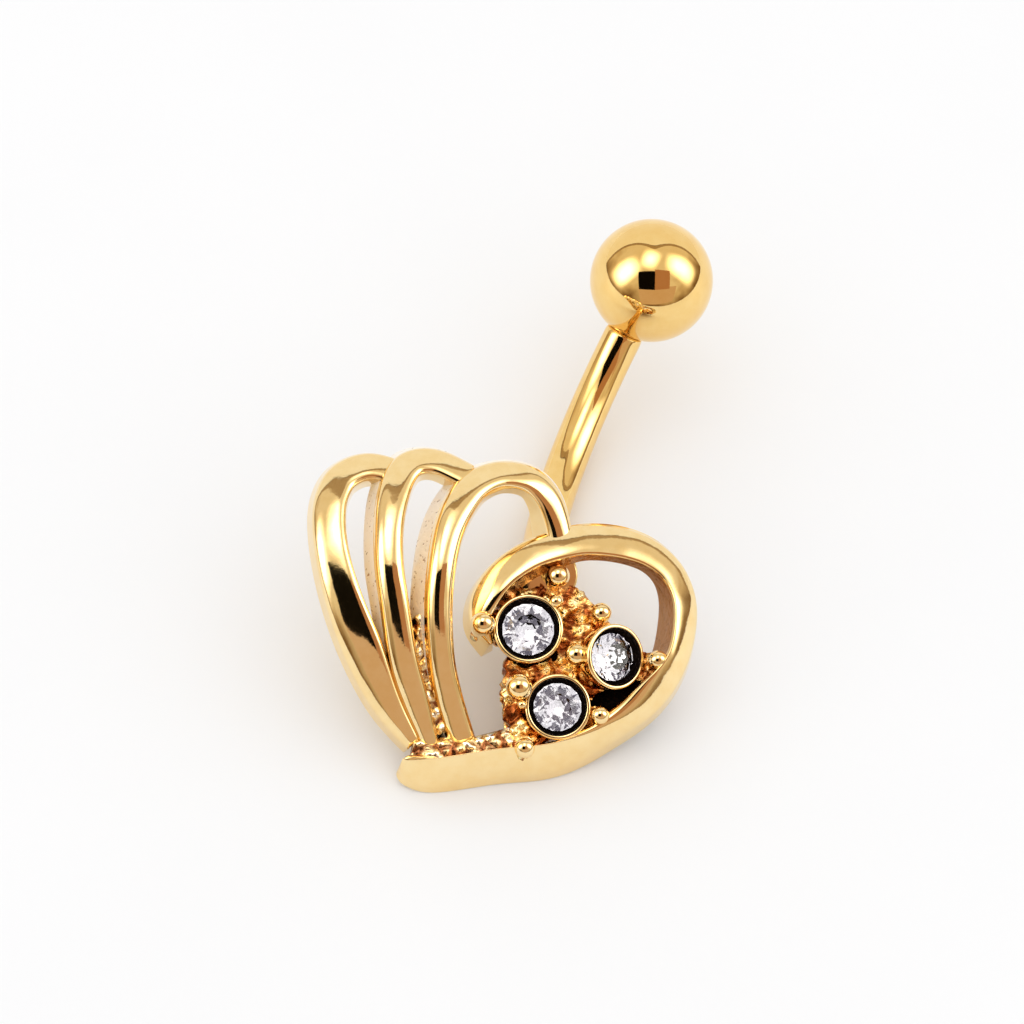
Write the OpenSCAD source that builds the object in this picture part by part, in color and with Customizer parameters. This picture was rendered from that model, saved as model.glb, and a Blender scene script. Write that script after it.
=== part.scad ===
// Navel ring: an openwork heart charm with three stones, a curved bar and a screw-on ball.
// It lies as it rests on a table: the edge of its lower band and the belly of the bar touch down.

/* [Heart] */
// Width of the heart, across its two halves
heart_w = 16; // [13:0.5:20]
// Height of the heart, from its tip to the tops of its lobes
heart_h = 13.2; // [11:0.4:16]
// Height above the flat of the back that the right half and the stones' cups count from
heart_t = 3.2; // [2.8:0.1:4]
// Height of the fan's highest ridge above the flat of the back
fan_t = 4.2; // [3.8:0.1:4.8]
// Width of a strand where it is full
strand_w = 1.3; // [1.1:0.05:1.6]
// Depth of the casting under its ridges
cast_depth = 1.5; // [1.2:0.1:1.8]
// Spread of a strand's walls toward the back, on each side
draft = 0.12; // [0.05:0.01:0.2]

/* [Stones] */
// Diameter of the large stone
large_stone_d = 2; // [1.6:0.1:2.4]
// Diameter of the two smaller stones
small_stone_d = 1.85; // [1.5:0.05:2.2]
// Space round a stone in its cup
seat_gap = 0.15; // [0.05:0.01:0.25]
// Wall of a stone's cup
cup_wall = 0.2; // [0.15:0.05:0.4]
// Height of a stone's cup
cup_h = 1.5; // [1.3:0.1:1.8]
// Drop from the rim of a cup to the girdle of its stone
seat_drop = 0.28; // [0.2:0.02:0.4]
// Diameter of the largest bead claw
bead_d = 1; // [0.7:0.05:1.2]

/* [Bar] */
// Thickness of the curved bar
bar_d = 1.6; // [1.2:0.1:2]
// Radius of the bar's curve, to its middle
bar_radius = 8.55; // [7:0.05:12]
// Angle that the bar's curve turns through
bar_sweep = 87.4; // [70:0.2:100]
// Angle between the bar and the heart's back where it enters the socket
bar_dip = 57; // [45:1:75]
// Turn of the bar to the left of the heart's upright
bar_yaw = 10.8; // [0:0.2:20]
// Lean of the bar's curve to the right
bar_roll = 8.5; // [0:0.5:15]
// Length of the bar's end inside the socket
socket_depth = 1.4; // [1:0.1:1.8]
// Wall of the socket round the bar
socket_wall = 0.35; // [0.25:0.05:0.6]
// Space between the bar and its socket
socket_gap = 0.05; // [0.03:0.01:0.1]

/* [Ball] */
// Diameter of the ball
ball_d = 5; // [3:0.5:8]
// Diameter of the stud that the ball screws on
stud_d = 1.1; // [0.8:0.1:1.2]
// Length of the stud
stud_l = 2.4; // [1.8:0.1:2.8]
// Running space between the stud and the ball's bore
stud_gap = 0.06; // [0.04:0.01:0.1]

/* [Hidden] */

pale_gold = [0.86, 0.73, 0.52];
deep_gold = [0.89, 0.66, 0.27];
clear = [0.9, 0.92, 0.96];
fine = 32;
bead_fine = 14;
steps = 3;
seat_air = 0.03;
// Cups, webs and the feet of claws are this much narrower at their lower end
taper = 0.8;
// Width of a web as a share of strand_w, and its depth as a share of cast_depth
web_wide = 0.9;
web_deep = 0.85;
// Heights of a stone's crown and of its pavilion, as shares of its diameter
crown_h = 0.16;
pavilion_h = 0.42;
// The wide bore of a seat ends at this share of the pavilion; under it a cone goes on to the point,
// and these are the cone's two diameters as shares of the stone's
bore_share = 0.5;
cone_top = 0.6;
cone_foot = 0.1;

// Columns of a strand's table. X is a share of heart_w and Y of heart_h, from the heart's tip.
// WIDTH is a share of strand_w, TOP and DOME of fan_t or heart_t and DEEP of cast_depth.
// LEAN moves the ridge sideways, as a share of half the width. SPREAD is how much farther the
// wall on the left of the strand's way runs out at its foot, a share of strand_w; a negative one
// is for the wall on the right. TILT is the top's slope up to the left. ROUND is 1 for a
// half-round top, less for a flatter one and 2 for a roof with flat sides.
X = 0; Y = 1; WIDTH = 2; TOP = 3; DOME = 4; LEAN = 5; DEEP = 6; SPREAD = 7; TILT = 8; ROUND = 9;

outer_strand = [
    [-0.034, 0.099, 0.45, 0.270, 0.10, 0, 0.9, 0, -0.40, 0.8],
    [-0.144, 0.146, 0.85, 0.465, 0.11, 0, 1, 0, -0.50, 0.75],
    [-0.251, 0.219, 1.12, 0.660, 0.11, 0, 1, 0, -0.45, 0.7],
    [-0.350, 0.297, 1.08, 0.790, 0.10, 0, 1, 0, -0.33, 0.67],
    [-0.441, 0.396, 1.00, 0.845, 0.10, 0, 1, 0, -0.24, 0.67],
    [-0.505, 0.502, 1.00, 0.820, 0.10, 0, 1, 0, -0.25, 0.7],
    [-0.526, 0.590, 1.00, 0.765, 0.10, 0, 1, 0, -0.33, 0.7],
    [-0.513, 0.650, 0.98, 0.745, 0.10, 0, 0.9, 0, -0.40, 0.7],
    [-0.480, 0.692, 0.96, 0.745, 0.10, 0, 0.8, 0, -0.38, 0.7],
    [-0.423, 0.716, 0.92, 0.750, 0.10, 0, 0.75, 0, -0.30, 0.7]];
middle_strand = [
    [0.007, 0.117, 0.52, 0.255, 0.10, 0, 0.9, 0, -0.35, 0.8],
    [-0.087, 0.192, 0.80, 0.500, 0.11, 0, 1, 0.1, -0.36, 0.8],
    [-0.161, 0.258, 0.85, 0.695, 0.11, 0, 1, 0.1, -0.25, 0.8],
    [-0.246, 0.364, 0.84, 0.890, 0.11, 0, 1, 0.15, -0.14, 0.8],
    [-0.309, 0.449, 0.84, 0.970, 0.11, 0, 1, 0.18, -0.09, 0.8],
    [-0.360, 0.543, 0.86, 0.975, 0.11, 0, 1, 0.18, -0.09, 0.75],
    [-0.395, 0.634, 0.94, 0.925, 0.10, 0, 1, 0.15, -0.16, 0.7],
    [-0.410, 0.713, 0.96, 0.860, 0.10, 0, 0.9, 0.1, -0.28, 0.7],
    [-0.398, 0.767, 0.95, 0.820, 0.10, 0, 0.75, 0.05, -0.40, 0.7],
    [-0.353, 0.803, 0.92, 0.820, 0.10, 0, 0.6, 0, -0.36, 0.7],
    [-0.273, 0.814, 0.90, 0.835, 0.10, 0, 0.6, 0, -0.26, 0.7]];
inner_strand = [
    [0.066, 0.180, 0.78, 0.280, 0.10, 0, 0.9, 0, -0.25, 0.85],
    [-0.019, 0.250, 0.82, 0.505, 0.11, 0, 1, 0.2, -0.26, 0.9],
    [-0.084, 0.319, 0.80, 0.700, 0.12, 0, 1, 0.3, -0.12, 0.9],
    [-0.149, 0.417, 0.80, 0.885, 0.12, 0, 1, 0.32, 0, 0.9],
    [-0.196, 0.512, 0.82, 0.985, 0.12, 0, 1, 0.32, 0.01, 0.9],
    [-0.234, 0.619, 0.88, 1.000, 0.12, 0, 1, 0.28, -0.04, 0.85],
    [-0.251, 0.716, 0.96, 0.960, 0.11, 0, 0.95, 0.2, -0.15, 0.8],
    [-0.248, 0.800, 0.98, 0.905, 0.11, 0, 0.8, 0.1, -0.30, 0.75],
    [-0.212, 0.873, 0.96, 0.860, 0.11, 0, 0.58, 0, -0.38, 0.75],
    [-0.150, 0.910, 0.94, 0.840, 0.11, 0, 0.52, 0, -0.30, 0.75],
    [-0.091, 0.899, 0.90, 0.800, 0.11, 0, 0.58, -0.1, -0.20, 0.8],
    [-0.037, 0.855, 0.84, 0.735, 0.11, 0, 0.85, -0.2, -0.10, 0.85],
    [0.012, 0.792, 0.80, 0.665, 0.11, 0, 1, -0.2, 0, 0.85]];
heart_strand = [
    [-0.036, 0.035, 0.20, 0.34, 0.26, 0.4, 1.1, 0, 0, 1],
    [-0.026, 0.037, 0.56, 0.40, 0.32, 0.4, 1.25, 0, 0, 1.2],
    [-0.001, 0.045, 0.80, 0.44, 0.35, 0.5, 1.3, 0, 0, 1.5],
    [0.048, 0.072, 0.85, 0.48, 0.40, 0.6, 1.3, 0, 0, 1.8],
    [0.153, 0.187, 0.84, 0.54, 0.42, 0.6, 1.3, 0, 0, 1.8],
    [0.2615, 0.3005, 0.86, 0.58, 0.42, 0.5, 1.3, 0, 0, 1.6],
    [0.334, 0.448, 0.82, 0.62, 0.30, 0.3, 1.2, 0, 0.35, 1.1],
    [0.378, 0.590, 0.86, 0.68, 0.12, 0.1, 1.1, 0.12, 0.80, 0.9],
    [0.384, 0.722, 0.70, 0.74, 0.07, 0, 1, 0.32, 0.95, 0.85],
    [0.336, 0.856, 0.78, 0.80, 0.055, 0, 0.9, 0.25, 0.80, 0.9],
    [0.269, 0.922, 0.84, 0.84, 0.05, 0, 0.6, 0.08, 0.50, 1],
    [0.197, 0.935, 0.92, 0.88, 0.045, 0, 0.35, 0, 0.32, 1],
    [0.119, 0.910, 1.00, 0.92, 0.045, 0, 0.29, 0, 0.26, 1],
    [0.044, 0.857, 0.99, 0.94, 0.045, 0, 0.32, 0, 0.26, 1],
    [-0.003, 0.801, 0.98, 0.94, 0.05, 0, 0.55, 0, 0.28, 0.95],
    [-0.048, 0.731, 0.96, 0.90, 0.06, 0, 0.8, 0, 0.34, 0.85],
    [-0.078, 0.645, 0.94, 0.84, 0.07, 0, 1, 0, 0.42, 0.8],
    [-0.083, 0.563, 0.86, 0.78, 0.09, 0, 1, 0, 0.52, 0.85],
    [-0.062, 0.497, 0.64, 0.70, 0.12, 0, 1, 0, 0.45, 0.9],
    [-0.010, 0.460, 0.24, 0.56, 0.16, 0, 1, 0, 0.20, 1]];
// The low ledge that the fan's lower ends run out on
ledge_strand = [
    [-0.034, 0.092, 0.60, 0.34, 0.08, 0, 1, 0, 0, 1],
    [0.030, 0.125, 0.85, 0.36, 0.08, 0, 1, 0, 0, 1],
    [0.095, 0.180, 0.85, 0.38, 0.08, 0, 1, 0, 0, 1],
    [0.160, 0.270, 0.80, 0.42, 0.08, 0, 1, 0, 0, 1]];
// The shallow channel between the middle and the inner strand
channel_strand = [
    [-0.184, 0.396, 0.42, 0.700, 0.05, 0, 0.6, 0, 0, 1],
    [-0.127, 0.315, 0.55, 0.575, 0.05, 0, 0.7, 0, 0, 1],
    [-0.063, 0.243, 0.60, 0.430, 0.05, 0, 0.8, 0, 0, 1],
    [0.015, 0.182, 0.60, 0.285, 0.05, 0, 0.9, 0, 0, 1]];
// How far the fan's walls lean for each unit of depth, to the right and up the heart
fan_lean = [-0.1, 0.17, 0];

// Where the lower band's outer edge touches the table, in rows of heart_strand; the edge is a
// little hollow between these two places
touch_rows = [3.33, 4.67];

// Columns of the stones' table: place, height of the rim, then the lean to the right and down
RIM = 2; LEAN_RIGHT = 3; LEAN_DOWN = 4;
large_seat = [0.045, 0.547, 0.73, 0, 9];
right_seat = [0.258, 0.617, 0.765, 26, -3];
lower_seat = [0.206, 0.402, 0.655, 3, 12];
seats = [large_seat, right_seat, lower_seat];
stone_ds = [large_stone_d, small_stone_d, small_stone_d];

// Columns of the claws' table: the cup that a claw stands by, its direction from there, its
// distance from the cup as a share of its radius, the height of its middle and its size
CUP = 0; TOWARD = 1; AWAY = 2; MIDDLE = 3; SIZE = 4;
claws = [
    [0, 94, 2.3, 0.75, 0.92], [0, 208, 0.85, 0.72, 0.96], [0, 78, 0.6, 0.76, 0.56],
    [1, 140, 1.4, 0.74, 0.80], [1, 209, 0.55, 0.72, 0.90], [2, 187, 0.75, 0.68, 1.04],
    [1, 31, 0.92, 0.72, 0.76], [2, 23, 1.05, 0.64, 0.72], [2, 264, 1.84, 0.56, 0.80],
    [2, 210, 0.6, 0.64, 0.36]];

// Low webs of metal between the cups, each from one place to the other, and a lower one that
// closes the pocket between two cups and the right half's strand
WEB_TOP = 0.46;
POCKET_TOP = 0.25;
webs = [
    [[0.045, 0.547], [0.256, 0.617]], [[0.045, 0.547], [0.206, 0.402]],
    [[0.256, 0.617], [0.206, 0.402]], [[0.045, 0.547], [-0.020, 0.740]],
    [[0.034, 0.729], [0.170, 0.690]], [[0.206, 0.402], [0.185, 0.300]],
    [[0.104, 0.385], [0.180, 0.290]], [[0.256, 0.617], [0.350, 0.680]],
    [[0.206, 0.402], [0.301, 0.440]], [[0.104, 0.385], [0.045, 0.547]],
    [[0.045, 0.547], [-0.045, 0.520]], [[-0.020, 0.740], [-0.050, 0.620]],
    [[0.120, 0.640], [0.190, 0.640]], [[0.150, 0.520], [0.190, 0.520]]];
pocket = [[0.295, 0.500], [0.350, 0.620]];

// A curve through the rows of a table, with the same number of steps between each pair of rows
function spline(a, b, c, d, t) =
    0.5 * (2 * b + (c - a) * t + (2 * a - 5 * b + 4 * c - d) * t * t
        + (3 * b - a - 3 * c + d) * t * t * t);
function ahead(rows) = 2 * rows[len(rows) - 1] - rows[len(rows) - 2];
function before(rows) = 2 * rows[0] - rows[1];
function smooth_rows(rows) =
    let (p = concat([before(rows)], rows, [ahead(rows)]), last = len(rows) - 1)
    [for (i = [0 : last - 1], k = [0 : steps - 1]) spline(p[i], p[i + 1], p[i + 2], p[i + 3], k / steps),
        rows[last]];

function at(row, z = 0) = [row[X] * heart_w, row[Y] * heart_h, z * heart_t];
function unit(v) = v / norm(v);
function heading(rows, i) =
    unit(at(rows[min(i + 1, len(rows) - 1)]) - at(rows[max(i - 1, 0)]));

// Domed top on walls that spread a little toward the back, as [across, height, wall depth].
// Heights count as shares of tall.
function section(row, tall) =
    let (half = row[WIDTH] * strand_w / 2, top = row[TOP] * tall,
        foot = max(0, top - row[DEEP] * cast_depth), low = foot + draft,
        dome = min(row[DOME] * tall, top - low), base = top - dome, slope = row[TILT] * half,
        left = max(low, base + slope), right = max(low, base - slope),
        out_left = draft + max(0, row[SPREAD]) * strand_w,
        out_right = draft - min(0, row[SPREAD]) * strand_w)
    concat([[-half - out_right, foot, right - foot], [-half, right, 0]],
        [for (a = [150 : -30 : 30])
            let (c = sign(cos(a)) * pow(abs(cos(a)), row[ROUND]), s = pow(sin(a), row[ROUND]))
            [half * (c + row[LEAN] * s), max(low, base + slope * c) + dome * s, 0]],
        [[half, left, 0], [half + out_left, foot, left - foot]]);
function ring(rows, i, tall, lean = [0, 0, 0]) =
    let (go = heading(rows, i), across = [-go[1], go[0], 0])
    [for (p = section(rows[i], tall)) at(rows[i]) + across * p[0] + [0, 0, p[1]] + lean * p[2]];

module sweep(table, tall, lean = [0, 0, 0]) {
    rows = smooth_rows(table);
    count = len(rows);
    sides = len(section(rows[0], tall));
    points = [for (i = [0 : count - 1]) each ring(rows, i, tall, lean)];
    walls = [for (i = [0 : count - 2], k = [0 : sides - 1])
        let (a = i * sides + k, b = i * sides + (k + 1) % sides)
        each [[a, b, a + sides], [b, b + sides, a + sides]]];
    ends = [[for (k = [sides - 1 : -1 : 0]) k], [for (k = [0 : sides - 1]) (count - 1) * sides + k]];
    polyhedron(points, concat(walls, ends));
}

// The bar's own plane: along goes up the heart, rise away from its back and side across both
along = [-sin(bar_yaw), cos(bar_yaw), 0];
rise = [sin(bar_roll) * cos(bar_yaw), sin(bar_roll) * sin(bar_yaw), cos(bar_roll)];
side = cross(along, rise);
mouth = [-0.0225 * heart_w, 0.8045 * heart_h, -0.19 * heart_t];
function in_plane(p) = mouth + along * p[0] + rise * p[1];
function tangent(a) = [cos(a), sin(a)];
curve_centre = bar_radius * [sin(bar_dip), cos(bar_dip)];
tip_angle = bar_sweep - bar_dip;
bar_tip = curve_centre + bar_radius * [sin(tip_angle), -cos(tip_angle)];
ball_seat = sqrt(pow(ball_d / 2, 2) - pow(bar_d / 2, 2));
ball_centre = bar_tip + ball_seat * tangent(tip_angle);

module bar_plane() {
    multmatrix([
        [along[0], rise[0], side[0], mouth[0]],
        [along[1], rise[1], side[1], mouth[1]],
        [along[2], rise[2], side[2], mouth[2]],
        [0, 0, 0, 1]]) children();
}
// The angle that a length takes up along the bar's curve
function turn(length) = length / bar_radius * 180 / PI;
module bar_curve(from, to, d) {
    translate([curve_centre[0], curve_centre[1], 0]) rotate([0, 0, from - 90])
        rotate_extrude(angle = to - from, $fn = 96) translate([bar_radius, 0]) circle(d = d, $fn = fine);
}
module along_bar(place, angle) {
    translate([place[0], place[1], 0]) rotate([0, 0, angle]) rotate([0, 90, 0]) children();
}

// How it rests: two places on the lower band and the belly of the bar lie on the table
heart_rows = smooth_rows(heart_strand);
touch_a = ring(heart_rows, round(touch_rows[0] * steps), heart_t)[0];
touch_b = ring(heart_rows, round(touch_rows[1] * steps), heart_t)[0];
curve_middle = in_plane(curve_centre);
function belly(up) =
    curve_middle - bar_radius * unit(up - (up * side) * side) - bar_d / 2 * up;
function settle(up, rounds) =
    rounds == 0 ? up : settle(unit(cross(touch_b - touch_a, belly(up) - touch_a)), rounds - 1);
up = settle([0, 0, 1], 8);
ball_middle = in_plane(ball_centre);
ahead_axis = unit(ball_middle - (ball_middle * up) * up);
right_axis = cross(ahead_axis, up);
function turned(v) = [v * right_axis, v * ahead_axis, v * up];

// The middle of the part's underside becomes the origin
fan = [outer_strand, middle_strand, inner_strand];
function edge(table, tall) = let (rows = smooth_rows(table))
    [for (i = [0 : len(rows) - 1]) each [for (p = ring(rows, i, tall)) turned(p)]];
edge_points = concat(edge(heart_strand, heart_t), [for (strand = fan) each edge(strand, fan_t)]);
ball_turned = turned(ball_middle);
function column(k) = [for (p = edge_points) p[k]];
left_side = min(min(column(0)), ball_turned[0] - ball_d / 2);
right_side = max(max(column(0)), ball_turned[0] + ball_d / 2);
front_side = min(column(1));
back_side = ball_turned[1] + ball_d / 2;
ground = min(min(column(2)), turned(belly(up))[2]);
centre = [(left_side + right_side) / 2, (front_side + back_side) / 2, ground];

module rest() {
    multmatrix([
        [right_axis[0], right_axis[1], right_axis[2], -centre[0]],
        [ahead_axis[0], ahead_axis[1], ahead_axis[2], -centre[1]],
        [up[0], up[1], up[2], -centre[2]],
        [0, 0, 0, 1]]) children();
}

module at_seat(seat) {
    translate(at(seat, seat[RIM])) rotate([seat[LEAN_DOWN], seat[LEAN_RIGHT], 0]) children();
}
function cup_d(stone_d) = stone_d + 2 * (seat_gap + cup_wall);
module cup(seat, stone_d) {
    outer_d = cup_d(stone_d);
    at_seat(seat) translate([0, 0, -cup_h]) cylinder(h = cup_h, d1 = outer_d * taper, d2 = outer_d, $fn = fine);
}
module seat_bore(seat, stone_d) {
    bore_d = stone_d + 2 * seat_gap;
    drop = seat_drop + pavilion_h * stone_d * bore_share;
    point_drop = seat_drop + pavilion_h * stone_d + seat_air;
    at_seat(seat) {
        translate([0, 0, -drop]) cylinder(h = drop + cup_h, d = bore_d, $fn = fine);
        translate([0, 0, -point_drop])
            cylinder(h = point_drop - drop + seat_air, d1 = stone_d * cone_foot, d2 = stone_d * cone_top,
                $fn = fine);
    }
}
// A bead on its stem, with a foot that joins it to the web under its cup
module claw(row) {
    size = row[SIZE] * bead_d;
    seat = seats[row[CUP]];
    reach = cup_d(stone_ds[row[CUP]]) / 2 + row[AWAY] * size / 2;
    place = at(seat) + reach * [cos(row[TOWARD]), sin(row[TOWARD]), 0];
    foot = [0, 0, WEB_TOP * heart_t - size / 2];
    hull() {
        translate(place + [0, 0, row[MIDDLE] * heart_t]) sphere(d = size, $fn = bead_fine);
        translate(place + foot) cylinder(h = size / 4, d = size * taper, $fn = bead_fine);
    }
    hull() for (spot = [place, at(seat)]) translate(spot + foot)
        cylinder(h = size / 2, d = size * taper, $fn = bead_fine);
}
module web(ends, top = WEB_TOP) {
    web_d = strand_w * web_wide;
    web_h = min(cast_depth * web_deep, top * heart_t);
    hull() for (place = ends) translate(at(place, top) - [0, 0, web_h])
        cylinder(h = web_h, d1 = web_d * taper, d2 = web_d, $fn = bead_fine);
}
module socket() {
    length = (WEB_TOP * heart_t - mouth[2]) / sin(bar_dip);
    bar_plane() bar_curve(-bar_dip - turn(length), -bar_dip, bar_d + 2 * (socket_gap + socket_wall));
}
module socket_bore() {
    bar_plane() bar_curve(-bar_dip - turn(socket_depth + socket_gap), -bar_dip + turn(bar_d),
        bar_d + 2 * socket_gap);
}

module heart_frame() color(pale_gold) rest() difference() {
    union() {
        for (strand = fan) sweep(strand, fan_t, fan_lean);
        sweep(channel_strand, fan_t);
        for (strand = [heart_strand, ledge_strand]) sweep(strand, heart_t);
        for (k = [0 : len(seats) - 1]) cup(seats[k], stone_ds[k]);
        for (row = claws) claw(row);
        for (ends = webs) web(ends);
        web(pocket, POCKET_TOP);
        socket();
    }
    for (k = [0 : len(seats) - 1]) seat_bore(seats[k], stone_ds[k]);
    socket_bore();
}

module curved_bar() color(deep_gold) rest() bar_plane() {
    bar_curve(-bar_dip - turn(socket_depth), tip_angle, bar_d);
    along_bar(bar_tip, tip_angle) translate([0, 0, -bar_d / 2])
        cylinder(h = bar_d / 2 + stud_l, d = stud_d, $fn = fine);
}

module top_ball() color(deep_gold) rest() bar_plane() difference() {
    translate([ball_centre[0], ball_centre[1], 0]) sphere(d = ball_d, $fn = 64);
    along_bar(bar_tip, tip_angle) {
        translate([0, 0, -bar_d]) cylinder(h = bar_d + stud_gap, d = bar_d + 2 * stud_gap, $fn = fine);
        cylinder(h = stud_l + 3 * stud_gap, d = stud_d + 2 * stud_gap, $fn = fine);
    }
}

// A round cut stone: a flat table, a crown of two rings of facets, a girdle and a pointed pavilion
facets = 12;
module stone(seat, stone_d) {
    r = stone_d / 2;
    table_r = r * 0.56;
    girdle = stone_d * 0.03;
    half_step = 180 / facets;
    function ring_at(radius, z, shift) = [for (k = [0 : facets - 1])
        [radius * cos(k * 360 / facets + shift), radius * sin(k * 360 / facets + shift), z]];
    points = concat(
        [[0, 0, -pavilion_h * stone_d]],
        ring_at(r, -girdle, 0), ring_at(r, 0, 0),
        ring_at(r * 0.82, crown_h * stone_d * 0.62, half_step), ring_at(table_r, crown_h * stone_d, 0));
    function id(level, k) = 1 + level * facets + k % facets;
    faces = concat(
        [for (k = [0 : facets - 1]) [0, id(0, k), id(0, k + 1)]],
        [for (k = [0 : facets - 1]) [id(0, k), id(1, k), id(1, k + 1), id(0, k + 1)]],
        [for (k = [0 : facets - 1]) each [[id(1, k), id(2, k), id(1, k + 1)],
            [id(2, k), id(2, k + 1), id(1, k + 1)]]],
        [for (k = [0 : facets - 1]) each [[id(2, k), id(3, k + 1), id(2, k + 1)],
            [id(2, k), id(3, k), id(3, k + 1)]]],
        [[for (k = [facets - 1 : -1 : 0]) id(3, k)]]);
    rest() at_seat(seat) translate([0, 0, -seat_drop]) polyhedron(points, faces);
}
module stone_large() color(clear) stone(large_seat, large_stone_d);
module stone_right() color(clear) stone(right_seat, small_stone_d);
module stone_lower() color(clear) stone(lower_seat, small_stone_d);

heart_frame();
curved_bar();
top_ball();
stone_large();
stone_right();
stone_lower();
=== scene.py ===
import math
from collections import namedtuple

import bmesh
import bpy
from bpy.props import FloatProperty, FloatVectorProperty, IntProperty, PointerProperty
from mathutils import Matrix, Vector


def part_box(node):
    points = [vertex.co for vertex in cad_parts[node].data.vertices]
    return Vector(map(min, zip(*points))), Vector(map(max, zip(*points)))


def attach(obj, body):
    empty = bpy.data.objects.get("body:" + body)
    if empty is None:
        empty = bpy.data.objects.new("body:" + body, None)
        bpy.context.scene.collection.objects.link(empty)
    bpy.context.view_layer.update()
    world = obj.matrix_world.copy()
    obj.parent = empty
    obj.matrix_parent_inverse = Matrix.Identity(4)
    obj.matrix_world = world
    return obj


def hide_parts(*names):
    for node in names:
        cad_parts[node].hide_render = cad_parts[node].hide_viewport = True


bl_info = {
    "name": "Navel Ring",
    "version": (1, 0, 0),
    "blender": (4, 5, 0),
    "location": "3D View > Sidebar > Navel Ring",
    "description": "An openwork heart charm with three stones on a curved bar with a ball",
    "category": "Object",
}

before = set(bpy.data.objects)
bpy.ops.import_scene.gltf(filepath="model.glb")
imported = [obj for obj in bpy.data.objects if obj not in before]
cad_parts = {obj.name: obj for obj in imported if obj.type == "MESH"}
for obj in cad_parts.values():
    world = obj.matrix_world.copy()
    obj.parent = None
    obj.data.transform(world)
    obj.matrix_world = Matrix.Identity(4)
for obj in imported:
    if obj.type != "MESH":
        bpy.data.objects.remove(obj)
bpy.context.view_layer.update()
MM = 0.001

# One section of a strand. x and y are shares of the heart's width and height from its tip, width
# and spread of the strand's width, top and dome of the fan's or the heart's rise, deep of the
# casting's depth, lean of half the width. tilt is the top's slope up to the left; round is 1 for
# a half-round top, less for a flatter one and 2 for a roof.
Row = namedtuple("Row", "x y width top dome tilt round deep spread lean", defaults=(1, 0, 0))


def table(*lines):
    return [Row(*line) for line in lines]


OUTER_STRAND = table(
    (-0.034, 0.099, 0.45, 0.27, 0.1, -0.4, 0.8, 0.9),
    (-0.144, 0.146, 0.85, 0.465, 0.11, -0.5, 0.75),
    (-0.251, 0.219, 1.12, 0.66, 0.11, -0.45, 0.7),
    (-0.35, 0.297, 1.08, 0.79, 0.1, -0.33, 0.67),
    (-0.441, 0.396, 1, 0.845, 0.1, -0.24, 0.67),
    (-0.505, 0.502, 1, 0.82, 0.1, -0.25, 0.7),
    (-0.526, 0.59, 1, 0.765, 0.1, -0.33, 0.7),
    (-0.513, 0.65, 0.98, 0.745, 0.1, -0.4, 0.7, 0.9),
    (-0.48, 0.692, 0.96, 0.745, 0.1, -0.38, 0.7, 0.8),
    (-0.423, 0.716, 0.92, 0.75, 0.1, -0.3, 0.7, 0.75))
MIDDLE_STRAND = table(
    (0.007, 0.117, 0.52, 0.255, 0.1, -0.35, 0.8, 0.9),
    (-0.087, 0.192, 0.8, 0.5, 0.11, -0.36, 0.8, 1, 0.1),
    (-0.161, 0.258, 0.85, 0.695, 0.11, -0.25, 0.8, 1, 0.1),
    (-0.246, 0.364, 0.84, 0.89, 0.11, -0.14, 0.8, 1, 0.15),
    (-0.309, 0.449, 0.84, 0.97, 0.11, -0.09, 0.8, 1, 0.18),
    (-0.36, 0.543, 0.86, 0.975, 0.11, -0.09, 0.75, 1, 0.18),
    (-0.395, 0.634, 0.94, 0.925, 0.1, -0.16, 0.7, 1, 0.15),
    (-0.41, 0.713, 0.96, 0.86, 0.1, -0.28, 0.7, 0.9, 0.1),
    (-0.398, 0.767, 0.95, 0.82, 0.1, -0.4, 0.7, 0.75, 0.05),
    (-0.353, 0.803, 0.92, 0.82, 0.1, -0.36, 0.7, 0.6),
    (-0.273, 0.814, 0.9, 0.835, 0.1, -0.26, 0.7, 0.6))
INNER_STRAND = table(
    (0.066, 0.18, 0.78, 0.28, 0.1, -0.25, 0.85, 0.9),
    (-0.019, 0.25, 0.82, 0.505, 0.11, -0.26, 0.9, 1, 0.2),
    (-0.084, 0.319, 0.8, 0.7, 0.12, -0.12, 0.9, 1, 0.3),
    (-0.149, 0.417, 0.8, 0.885, 0.12, 0, 0.9, 1, 0.32),
    (-0.196, 0.512, 0.82, 0.985, 0.12, 0.01, 0.9, 1, 0.32),
    (-0.234, 0.619, 0.88, 1, 0.12, -0.04, 0.85, 1, 0.28),
    (-0.251, 0.716, 0.96, 0.96, 0.11, -0.15, 0.8, 0.95, 0.2),
    (-0.248, 0.8, 0.98, 0.905, 0.11, -0.3, 0.75, 0.8, 0.1),
    (-0.212, 0.873, 0.96, 0.86, 0.11, -0.38, 0.75, 0.58),
    (-0.15, 0.91, 0.94, 0.84, 0.11, -0.3, 0.75, 0.52),
    (-0.091, 0.899, 0.9, 0.8, 0.11, -0.2, 0.8, 0.58, -0.1),
    (-0.037, 0.855, 0.84, 0.735, 0.11, -0.1, 0.85, 0.85, -0.2),
    (0.012, 0.792, 0.8, 0.665, 0.11, 0, 0.85, 1, -0.2))
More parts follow.
